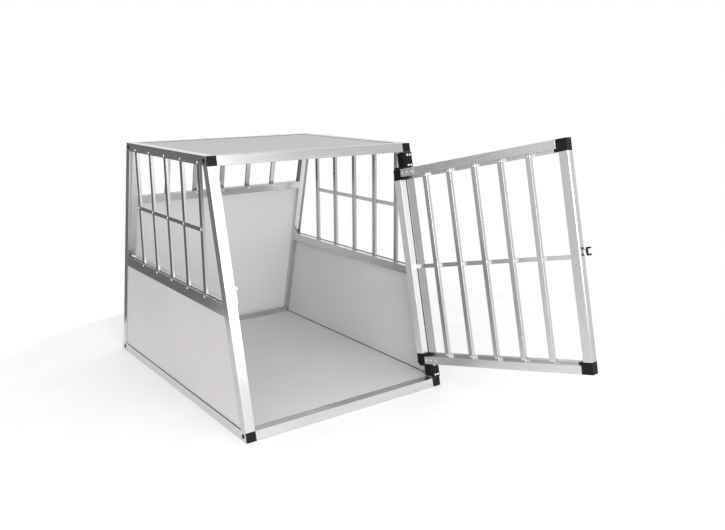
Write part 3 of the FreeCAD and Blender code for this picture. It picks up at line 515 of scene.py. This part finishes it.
def barRow(name, stem, place, material, body):
    count = barLook["count"]
    members = [f"{stem}_{i}" for i in range(1, count + 1)]
    boxes = [localBox(member, place) for member in members]
    firstLow, firstHigh = boxes[0]
    size = firstHigh - firstLow
    middle = (firstLow + firstHigh) / 2
    step = (boxes[-1][0] - boxes[0][0]) / (count - 1)
    empty = bpy.data.meshes.new("empty")
    return settle(empty, barTree, {
        "Count": count, "First": Vector((middle.x, middle.y, firstLow.z)), "Pitch": step,
        "Width": size.x, "Depth": size.y, "Corner": barLook["corner"], "Length": size.z,
        "Material": material}, name, place, material, body, members)


barRow("left_window_bars", "left_window_bar", crateFrame, alongHeight, "crate")
barRow("right_window_bars", "right_window_bar", crateFrame, alongHeight, "crate")
barRow("back_window_bars", "back_window_bar", backFrame, alongBack, "crate")
barRow("door_bars", "door_bar", doorFrame, alongDoorUp, "door")
print("bars made")


# The head of a rivet, plug or screw: a disc raised and narrowed in steps, each a share of the
# height and a share of the width.
def stackedHead(tree, source, sides, steps):
    make = tree.nodes.new
    disc = make("GeometryNodeMeshCircle")
    disc.fill_type = "NGON"
    disc.inputs["Vertices"].default_value = sides
    link(tree, source.outputs["Radius"], disc, "Radius")
    shape, top = disc.outputs["Mesh"], None
    for rise, narrow in steps:
        raised = make("GeometryNodeExtrudeMesh")
        raised.mode = "FACES"
        raised.inputs["Individual"].default_value = False
        up = make("ShaderNodeCombineXYZ")
        lift = make("ShaderNodeMath")
        lift.operation = "MULTIPLY"
        lift.inputs[1].default_value = rise
        link(tree, source.outputs["Height"], lift, 0)
        link(tree, lift.outputs[0], up, "Z")
        link(tree, shape, raised, "Mesh")
        if top is not None:
            link(tree, top, raised, "Selection")
        link(tree, up.outputs["Vector"], raised, "Offset")
        scaled = make("GeometryNodeScaleElements")
        link(tree, raised.outputs["Mesh"], scaled, "Geometry")
        link(tree, raised.outputs["Top"], scaled, "Selection")
        scaled.inputs["Scale"].default_value = narrow
        shape, top = scaled.outputs["Geometry"], raised.outputs["Top"]
    under = make("GeometryNodeFlipFaces")
    link(tree, disc.outputs["Mesh"], under, "Mesh")
    joined = make("GeometryNodeJoinGeometry")
    link(tree, shape, joined, "Geometry")
    link(tree, under.outputs["Mesh"], joined, "Geometry")
    welded = make("GeometryNodeMergeByDistance")
    welded.inputs["Distance"].default_value = weldDistance
    link(tree, joined.outputs["Geometry"], welded, "Geometry")
    return welded.outputs["Geometry"]


def scatterTree(name, sides, steps, cross=False):
    tree, source, sink = startTree(name, [("Radius", "Float"), ("Height", "Float"),
                                          ("Recess", "Float"), ("Material", "Material")])
    make = tree.nodes.new
    head = stackedHead(tree, source, sides, steps)
    if cross:
        cutter = make("GeometryNodeMeshBoolean")
        cutter.operation = "DIFFERENCE"
        link(tree, head, cutter, "Mesh 1")
        for wide, deep in ((1.0, 0.22), (0.22, 1.0)):
            blade = make("GeometryNodeMeshCube")
            size = make("ShaderNodeCombineXYZ")
            for axis, share in (("X", wide), ("Y", deep), ("Z", 0.9)):
                part = make("ShaderNodeMath")
                part.operation = "MULTIPLY"
                part.inputs[1].default_value = share
                link(tree, source.outputs["Recess"], part, 0)
                link(tree, part.outputs[0], size, axis)
            link(tree, size.outputs["Vector"], blade, "Size")
            moved = make("GeometryNodeTransform")
            lift = make("ShaderNodeCombineXYZ")
            link(tree, source.outputs["Height"], lift, "Z")
            link(tree, blade.outputs["Mesh"], moved, "Geometry")
            link(tree, lift.outputs["Vector"], moved, "Translation")
            link(tree, moved.outputs["Geometry"], cutter, "Mesh 2")
        head = cutter.outputs["Mesh"]
    facing = make("GeometryNodeInputNamedAttribute")
    facing.data_type = "FLOAT_VECTOR"
    facing.inputs["Name"].default_value = "facing"
    aimed = make("FunctionNodeAlignRotationToVector")
    aimed.axis = "Z"
    link(tree, facing.outputs["Attribute"], aimed, "Vector")
    placed = make("GeometryNodeInstanceOnPoints")
    link(tree, source.outputs["Geometry"], placed, "Points")
    link(tree, head, placed, "Instance")
    link(tree, aimed.outputs["Rotation"], placed, "Rotation")
    endTree(tree, source, sink, placed.outputs["Instances"])
    return tree


# The separate solids of a grouped node, each as a list of points.
def islandsOf(nodeName):
    shape = bmesh.new()
    shape.from_mesh(nodes[nodeName].data)
    bmesh.ops.remove_doubles(shape, verts=shape.verts, dist=easing["weld"])
    seen, found = set(), []
    for start in shape.verts:
        if start in seen:
            continue
        stack, island = [start], []
        seen.add(start)
        while stack:
            vert = stack.pop()
            island.append(vert.co.copy())
            for edge in vert.link_edges:
                other = edge.other_vert(vert)
                if other not in seen:
                    seen.add(other)
                    stack.append(other)
        found.append(island)
    shape.free()
    return found


# Where a head sits: the solid's middle, a head's height below its outermost point.
def seat(island, direction, height):
    low = Vector([min(p[i] for p in island) for i in range(3)])
    high = Vector([max(p[i] for p in island) for i in range(3)])
    middle = (low + high) / 2
    reach = max(p.dot(direction) for p in island)
    return middle + direction * (reach - height - middle.dot(direction))


headSizes = {"rivetRadius": 0.0034, "rivetHeight": 0.0012, "plugRadius": 0.0065,
             "plugHeight": 0.0012, "screwRadius": 0.0034, "screwHeight": 0.0012,
             "screwRecess": 0.0034, "sideFrom": 0.3, "outerBefore": -0.008}
rivetTree = scatterTree("blindRivets", 16, [(0.45, 0.94), (0.35, 0.78), (0.2, 0.62),
                                            (0.0, 0.62), (-0.55, 0.9)])
plugTree = scatterTree("roundPlugs", 28, [(0.55, 0.97), (0.35, 0.9), (0.1, 0.92),
                                          (0.0, 0.86), (-0.4, 0.96)])
screwTree = scatterTree("crossScrews", 18, [(0.4, 0.96), (0.35, 0.82), (0.25, 0.55)], cross=True)


def sideways(island):
    return Vector((math.copysign(1, sum(p.x for p in island)), 0, 0))


frontNormal = (frontFrame.to_3x3() @ Vector((0, -1, 0))).normalized()
backInward = (backFrame.to_3x3() @ Vector((0, -1, 0))).normalized()
doorInward = (doorFrame.to_3x3() @ Vector((0, 1, 0))).normalized()

rivetSeats, rivetFacings = [], []
for island in islandsOf("frame_rivets"):
    meanX = sum(p.x for p in island) / len(island)
    direction = sideways(island) if abs(meanX) > headSizes["sideFrom"] else backInward
    rivetSeats.append(seat(island, direction, headSizes["rivetHeight"]))
    rivetFacings.append(direction)
settle(pointMesh(rivetSeats, rivetFacings), rivetTree, {
    "Radius": headSizes["rivetRadius"], "Height": headSizes["rivetHeight"], "Recess": 0.0,
    "Material": rivetSteel}, "window_rivets", crateFrame, rivetSteel, "crate",
    ["frame_rivets"])

rivetSeats, rivetFacings = [], []
for island in islandsOf("door_rivets"):
    middle = sum(island, Vector()) / len(island)
    inner = (doorFrame.inverted() @ middle).y > headSizes["outerBefore"]
    direction = doorInward if inner else -doorInward
    rivetSeats.append(seat(island, direction, headSizes["rivetHeight"]))
    rivetFacings.append(direction)
settle(pointMesh(rivetSeats, rivetFacings), rivetTree, {
    "Radius": headSizes["rivetRadius"], "Height": headSizes["rivetHeight"], "Recess": 0.0,
    "Material": rivetSteel}, "door_panel_rivets", crateFrame, rivetSteel, "door",
    ["door_rivets"])

plugIslands = islandsOf("rail_plugs")
settle(pointMesh([seat(i, sideways(i), headSizes["plugHeight"]) for i in plugIslands],
                 [sideways(i) for i in plugIslands]), plugTree, {
    "Radius": headSizes["plugRadius"], "Height": headSizes["plugHeight"], "Recess": 0.0,
    "Material": blackPlastic}, "rail_round_plugs", crateFrame, blackPlastic,
    "crate", ["rail_plugs"])

screwIslands = islandsOf("bracket_screws")
settle(pointMesh([seat(i, frontNormal, headSizes["screwHeight"]) for i in screwIslands],
                 [frontNormal for i in screwIslands]), screwTree, {
    "Radius": headSizes["screwRadius"], "Height": headSizes["screwHeight"],
    "Recess": headSizes["screwRecess"], "Material": rivetSteel}, "cross_screws", crateFrame,
    rivetSteel, "crate", ["bracket_screws"])
print("rivets, plugs and screws made")


# the turn knob, turned on a lathe and ribbed round its rim
knobSizes = {"radius": 0.0088, "ribs": 24, "ribHeight": 0.0006, "ribShare": 0.9,
             "slotHalf": 0.0008, "slotReach": 0.0045, "slotDepth": 0.002, "rim": 0.001,
             "head": 0.0099, "shaft": 0.0039, "rimTop": 0.0012, "bevel": 0.0002,
             "face": 0.72, "dish": 0.66, "dishDepth": 0.0006}


# A closed turned shape about local Z; profile is (radius, level) from bottom to top, and
# rings wider than ribFrom are ribbed.
def latheMesh(name, profile, sides, ribFrom, ribHeight):
    shape = bmesh.new()
    rings = []
    for radius, level in profile:
        ring = []
        for i in range(sides):
            angle = 2 * math.pi * i / sides
            lift = ribHeight * (i % 2) if radius > ribFrom else 0
            ring.append(shape.verts.new(((radius - lift) * math.cos(angle),
                                         (radius - lift) * math.sin(angle), level)))
        rings.append(ring)
    for lower, upper in zip(rings, rings[1:]):
        for i in range(sides):
            j = (i + 1) % sides
            shape.faces.new((lower[i], lower[j], upper[j], upper[i]))
    shape.faces.new(list(reversed(rings[0])))
    shape.faces.new(rings[-1])
    bmesh.ops.recalc_face_normals(shape, faces=shape.faces)
    mesh = bpy.data.meshes.new(name)
    shape.to_mesh(mesh)
    shape.free()
    return mesh


knobLow, knobHigh = localBox("lock_knob", doorFrame)
knobMiddle = (knobLow + knobHigh) / 2
knobBase = Vector((knobMiddle.x, knobHigh.y, knobMiddle.z))
knobLong = knobHigh.y - knobLow.y
k = knobSizes
headLow = knobLong - k["head"]
knobProfile = [(k["shaft"], 0.0), (k["shaft"], headLow), (k["radius"] - k["rim"], headLow),
               (k["radius"], headLow + k["rim"]), (k["radius"], knobLong - k["rimTop"]),
               (k["radius"] - k["rim"], knobLong - k["bevel"]),
               (k["radius"] * k["face"], knobLong),
               (k["radius"] * k["dish"], knobLong - k["dishDepth"])]
knobMesh = latheMesh("knob", knobProfile, k["ribs"] * 2, k["radius"] * k["ribShare"],
                     k["ribHeight"])
slotCutter = bmesh.new()
bmesh.ops.create_cube(slotCutter, size=1.0)
for vert in slotCutter.verts:
    vert.co = Vector((vert.co.x * 2 * k["slotHalf"], vert.co.y * 2 * k["slotReach"],
                      knobLong + vert.co.z * 2 * k["slotDepth"]))
cutterMesh = bpy.data.meshes.new("slotCutter")
slotCutter.to_mesh(cutterMesh)
slotCutter.free()
knobHolder = bpy.data.objects.new("knobHolder", knobMesh)
cutterHolder = bpy.data.objects.new("cutterHolder", cutterMesh)
for holder in (knobHolder, cutterHolder):
    bpy.context.scene.collection.objects.link(holder)
slotCut = knobHolder.modifiers.new("slotCut", "BOOLEAN")
slotCut.operation = "DIFFERENCE"
slotCut.object = cutterHolder
graph = bpy.context.evaluated_depsgraph_get()
knobDone = bpy.data.meshes.new_from_object(knobHolder.evaluated_get(graph))
bpy.data.objects.remove(knobHolder)
bpy.data.objects.remove(cutterHolder)
knobDone.transform(doorFrame @ Matrix.Translation(knobBase) @ Matrix.Rotation(math.pi / 2, 4, "X"))
finishPiece(knobDone, "lock_turn_knob", brightZinc, "lock", ["lock_knob"])
print("knob made")


# thin black strips where the boards meet the bottom frame and along the floor inside: painted shade standing in
# for the shadow lines in these joints
shadowLineSizes = {"thick": 0.0014, "tall": 0.0018, "endInset": 0.031, "floorInset": 0.006}


# A slim strip from start to end with a softly crowned top.
def stripMesh(name, start, end, across, up):
    shape = bmesh.new()
    section = [(0, 0), (1, 0), (1, 0.6), (0.75, 1), (0.25, 1), (0, 0.6)]
    rings = []
    for point in (start, end):
        rings.append([shape.verts.new(point + across * (a * shadowLineSizes["thick"])
                                      + up * (b * shadowLineSizes["tall"])) for a, b in section])
    count = len(section)
    for i in range(count):
        j = (i + 1) % count
        shape.faces.new((rings[0][i], rings[0][j], rings[1][j], rings[1][i]))
    shape.faces.new(rings[0])
    shape.faces.new(rings[1])
    bmesh.ops.recalc_face_normals(shape, faces=shape.faces)
    mesh = bpy.data.meshes.new(name)
    shape.to_mesh(mesh)
    shape.free()
    return mesh


# each side gets a black strip outside on the bottom rail and one inside on the floor, both painted shade
for side, word in ((-1, "left"), (1, "right")):
    boardLow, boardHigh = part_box(f"{word}_board")
    railLow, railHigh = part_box(f"bottom_rail_{word}")
    outerX = boardLow.x if side < 0 else boardHigh.x
    frontY = railLow.y + shadowLineSizes["endInset"]
    backY = railHigh.y - shadowLineSizes["endInset"]
    strip = stripMesh(f"board_joint_shade_{word}", Vector((outerX, frontY, railHigh.z)),
                      Vector((outerX, backY, railHigh.z)), Vector((side, 0, 0)),
                      Vector((0, 0, 1)))
    finishPiece(strip, f"board_joint_shade_{word}", blackPlastic, "crate", [])
    innerX = boardHigh.x if side < 0 else boardLow.x
    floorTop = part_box("floor_board")[1].z
    inset = shadowLineSizes["floorInset"]
    inside = stripMesh(f"floor_joint_shade_{word}", Vector((innerX, frontY + inset, floorTop)),
                       Vector((innerX, backY - inset, floorTop)), Vector((-side, 0, 0)),
                       Vector((0, 0, 1)))
    finishPiece(inside, f"floor_joint_shade_{word}", blackPlastic, "crate", [])
# the black joint strips just made are painted shade
print("paintedShade strips made")


# floor, light and camera
stageSizes = {"radius": 1.2, "centre": (0.12, 0.12), "sides": 128, "drop": 0.0005,
              "dark": (0.90, 0.90, 0.90), "light": (0.93, 0.93, 0.93), "rough": 0.75,
              "cloudScale": 6.0}
floorMaterial, floorTree, floorShader = startMaterial("paleFloor")
floorWhere = turnedCoordinates(floorTree, Matrix.Identity(3), (1, 1, 1))
floorTone = ramp(floorTree, noise(floorTree, floorWhere, stageSizes["cloudScale"], 3.0),
                 [(0.3, stageSizes["dark"]), (0.7, stageSizes["light"])])
floorTree.links.new(floorTone, floorShader.inputs["Base Color"])
floorShader.inputs["Roughness"].default_value = stageSizes["rough"]
floorShape = bmesh.new()
bmesh.ops.create_circle(floorShape, cap_ends=True, segments=stageSizes["sides"],
                        radius=stageSizes["radius"])
floorMesh = bpy.data.meshes.new("floor")
floorShape.to_mesh(floorMesh)
floorShape.free()
floorMesh.transform(Matrix.Translation((*stageSizes["centre"], -stageSizes["drop"])))
floorMesh.materials.append(floorMaterial)
floor = bpy.data.objects.new("floor", floorMesh)
bpy.context.scene.collection.objects.link(floor)

# white all round, with a darker area that only reflections and light see; angles in degrees
skyLook = {"white": 1.0, "dark": 0.17, "azimuth": -28, "elevation": -10,
           "inner": 17, "outer": 37}
world = bpy.data.worlds.new("studio")
bpy.context.scene.world = world
world.use_nodes = True
sky = world.node_tree
background = next(n for n in sky.nodes if n.type == "BACKGROUND")
azimuth, elevation = math.radians(skyLook["azimuth"]), math.radians(skyLook["elevation"])
shadeAt = Vector((math.sin(azimuth) * math.cos(elevation),
                  math.cos(azimuth) * math.cos(elevation), math.sin(elevation)))
skyWhere = addNode(sky, "ShaderNodeTexCoord")
toShade = addNode(sky, "ShaderNodeVectorMath", operation="DOT_PRODUCT")
toShade.inputs[1].default_value = shadeAt
sky.links.new(skyWhere.outputs["Generated"], toShade.inputs[0])
blend = addNode(sky, "ShaderNodeMapRange", {
    "From Min": math.cos(math.radians(skyLook["outer"])),
    "From Max": math.cos(math.radians(skyLook["inner"])),
    "To Min": skyLook["white"], "To Max": skyLook["dark"]}, interpolation_type="SMOOTHSTEP")
sky.links.new(toShade.outputs["Value"], blend.inputs["Value"])
seen = addNode(sky, "ShaderNodeLightPath")
backdrop = addNode(sky, "ShaderNodeMix", data_type="FLOAT")
backdrop.inputs["B"].default_value = skyLook["white"]
sky.links.new(seen.outputs["Is Camera Ray"], backdrop.inputs["Factor"])
sky.links.new(blend.outputs["Result"], backdrop.inputs["A"])
sky.links.new(backdrop.outputs["Result"], background.inputs["Strength"])
background.inputs["Color"].default_value = (1, 1, 1, 1)

lights = {"key": {"at": (-0.9, -2.7, 1.25), "size": 1.3, "power": 46},
          "fill": {"at": (0.5, -2.9, 1.0), "size": 1.3, "power": 22}}
aimPoint = Vector((0, 0.45, 0.25))
for lightName, setting in lights.items():
    lamp = bpy.data.lights.new(lightName, "AREA")
    lamp.shape = "SQUARE"
    lamp.size = setting["size"]
    lamp.energy = setting["power"]
    holder = bpy.data.objects.new(lightName, lamp)
    holder.location = setting["at"]
    aim = aimPoint - holder.location
    holder.rotation_euler = aim.to_track_quat("-Z", "Y").to_euler()
    bpy.context.scene.collection.objects.link(holder)

cameraView = {"at": (-1.1375, -1.6331, 0.8907), "yaw": 36.022, "pitch": -13.491, "roll": -0.315,
              "lens": 38.28, "sensor": 36.0}
cameraData = bpy.data.cameras.new("camera")
cameraData.sensor_width = cameraView["sensor"]
cameraData.lens = cameraView["lens"]
camera = bpy.data.objects.new("camera", cameraData)
yaw, pitch = math.radians(cameraView["yaw"]), math.radians(cameraView["pitch"])
roll = math.radians(cameraView["roll"])
forward = Vector((math.sin(yaw) * math.cos(pitch), math.cos(yaw) * math.cos(pitch),
                  math.sin(pitch)))
rightHand = Vector((math.cos(yaw), -math.sin(yaw), 0))
upHand = rightHand.cross(forward)
rolledRight = rightHand * math.cos(roll) + upHand * math.sin(roll)
rolledUp = upHand * math.cos(roll) - rightHand * math.sin(roll)
turned = Matrix((rolledRight, rolledUp, -forward)).transposed()
camera.rotation_euler = turned.to_euler()
camera.location = cameraView["at"]
bpy.context.scene.collection.objects.link(camera)
bpy.context.scene.camera = camera
bpy.context.scene.view_settings.view_transform = "Standard"
print("stage set")
